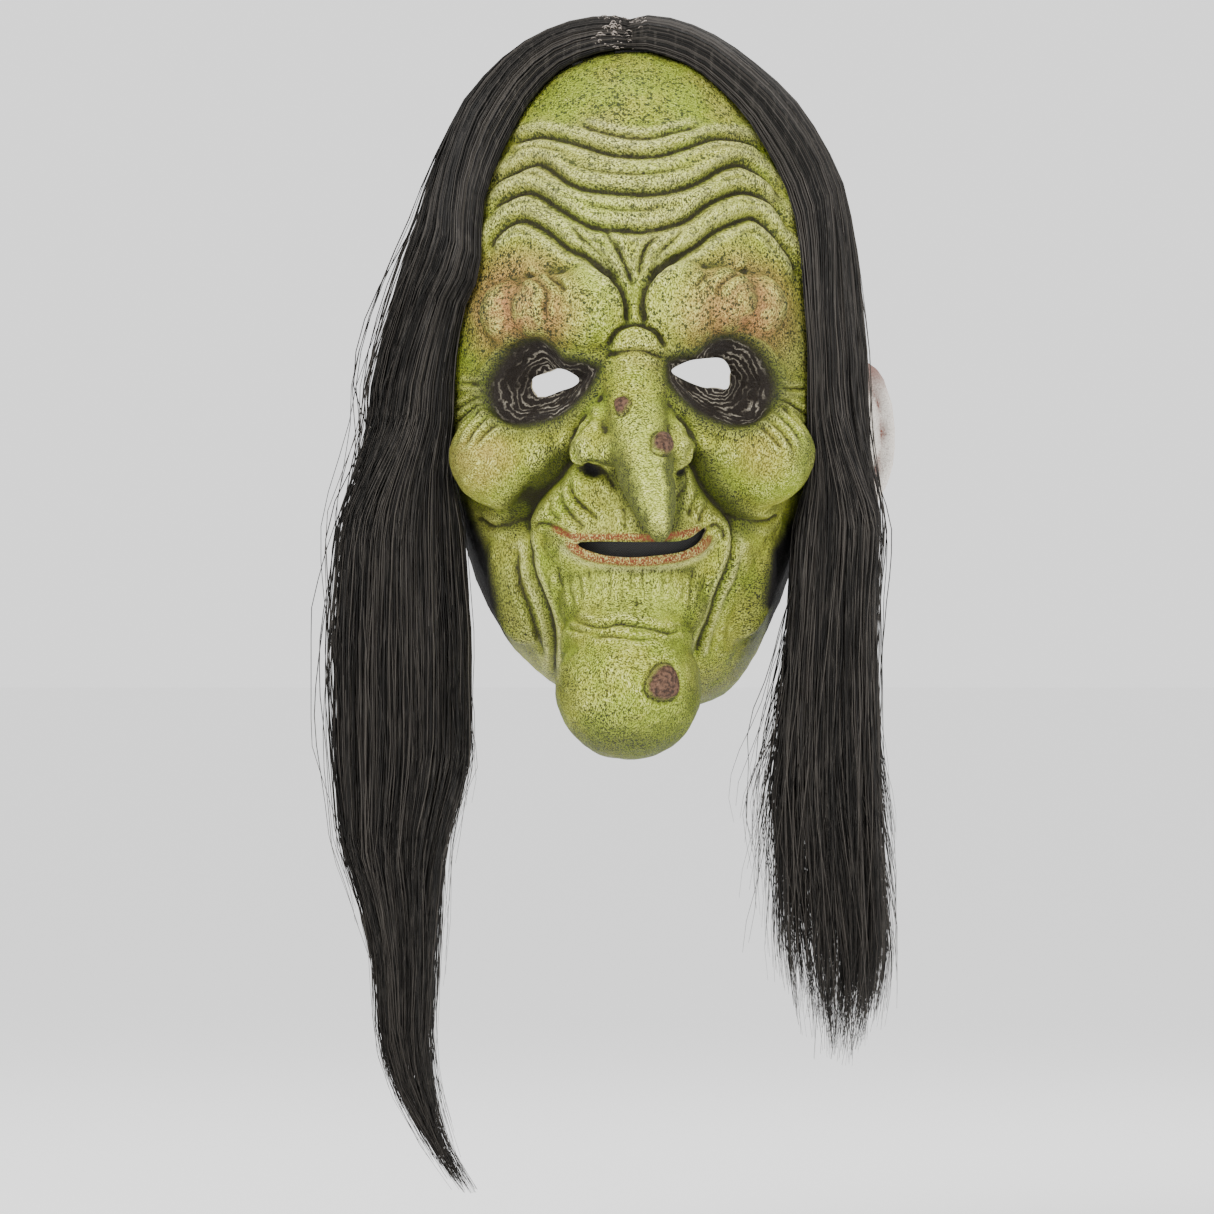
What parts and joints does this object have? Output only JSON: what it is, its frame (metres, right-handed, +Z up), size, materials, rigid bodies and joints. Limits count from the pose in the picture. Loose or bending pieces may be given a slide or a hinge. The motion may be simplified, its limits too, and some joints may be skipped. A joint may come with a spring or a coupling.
{
  "type": "latex halloween mask",
  "caption": "Wearable latex witch mask with a hooked nose and ball chin, long hair locks that swing, and an elastic head strap that pivots on rivets.",
  "frame": {"origin": "middle of the wearer's head, level with the eye holes", "axes": "+Z up, the face looks along -Y, the open back is towards +Y, +X is to the right as seen from the front"},
  "size_m": [0.2229, 0.1756, 0.472],
  "materials": {
    "painted_latex": "matt painted latex, yellow green with dark washes in the folds",
    "hair": "black synthetic hair with a soft sheen",
    "gauze": "dark open weave",
    "tape": "woven cotton tape",
    "thread": "pale grey sewing thread",
    "elastic": "black ribbed elastic",
    "patch": "dark leathercloth",
    "rivet_metal": "nickel plated, satin"
  },
  "bodies": {
    "mask": {"latex_skin": "painted_latex", "mouth_gauze": "gauze", "parting_tape": "tape", "parting_stitches": "thread", "weft_left_front": "hair", "weft_left_rear": "hair", "weft_right_front": "hair", "weft_right_rear": "hair", "weft_seam_left": "tape", "weft_seam_right": "tape", "strap_patch_left": "patch", "strap_patch_right": "patch", "strap_rivet_left": "rivet_metal", "strap_rivet_right": "rivet_metal", "rivet_washer_left": "rivet_metal", "rivet_washer_right": "rivet_metal"},
    "left_lock": {"lock_left_front": "hair", "lock_left_rear": "hair"},
    "right_lock": {"lock_right_front": "hair", "lock_right_rear": "hair"},
    "strap": {"elastic_strap": "elastic"}
  },
  "joints": [
    {"name": "left_lock_swing", "type": "hinge", "parent": "mask", "child": "left_lock", "pos_m": [-0.091, -0.042, -0.062], "axis": [1, 0, 0], "range_deg": [-35, 35]},
    {"name": "right_lock_swing", "type": "hinge", "parent": "mask", "child": "right_lock", "pos_m": [0.08, -0.042, -0.062], "axis": [1, 0, 0], "range_deg": [-35, 35]},
    {"name": "strap_swing", "type": "hinge", "parent": "mask", "child": "strap", "pos_m": [0, 0.025, 0.004], "axis": [1, 0, 0], "range_deg": [-10, 130]}
  ]
}
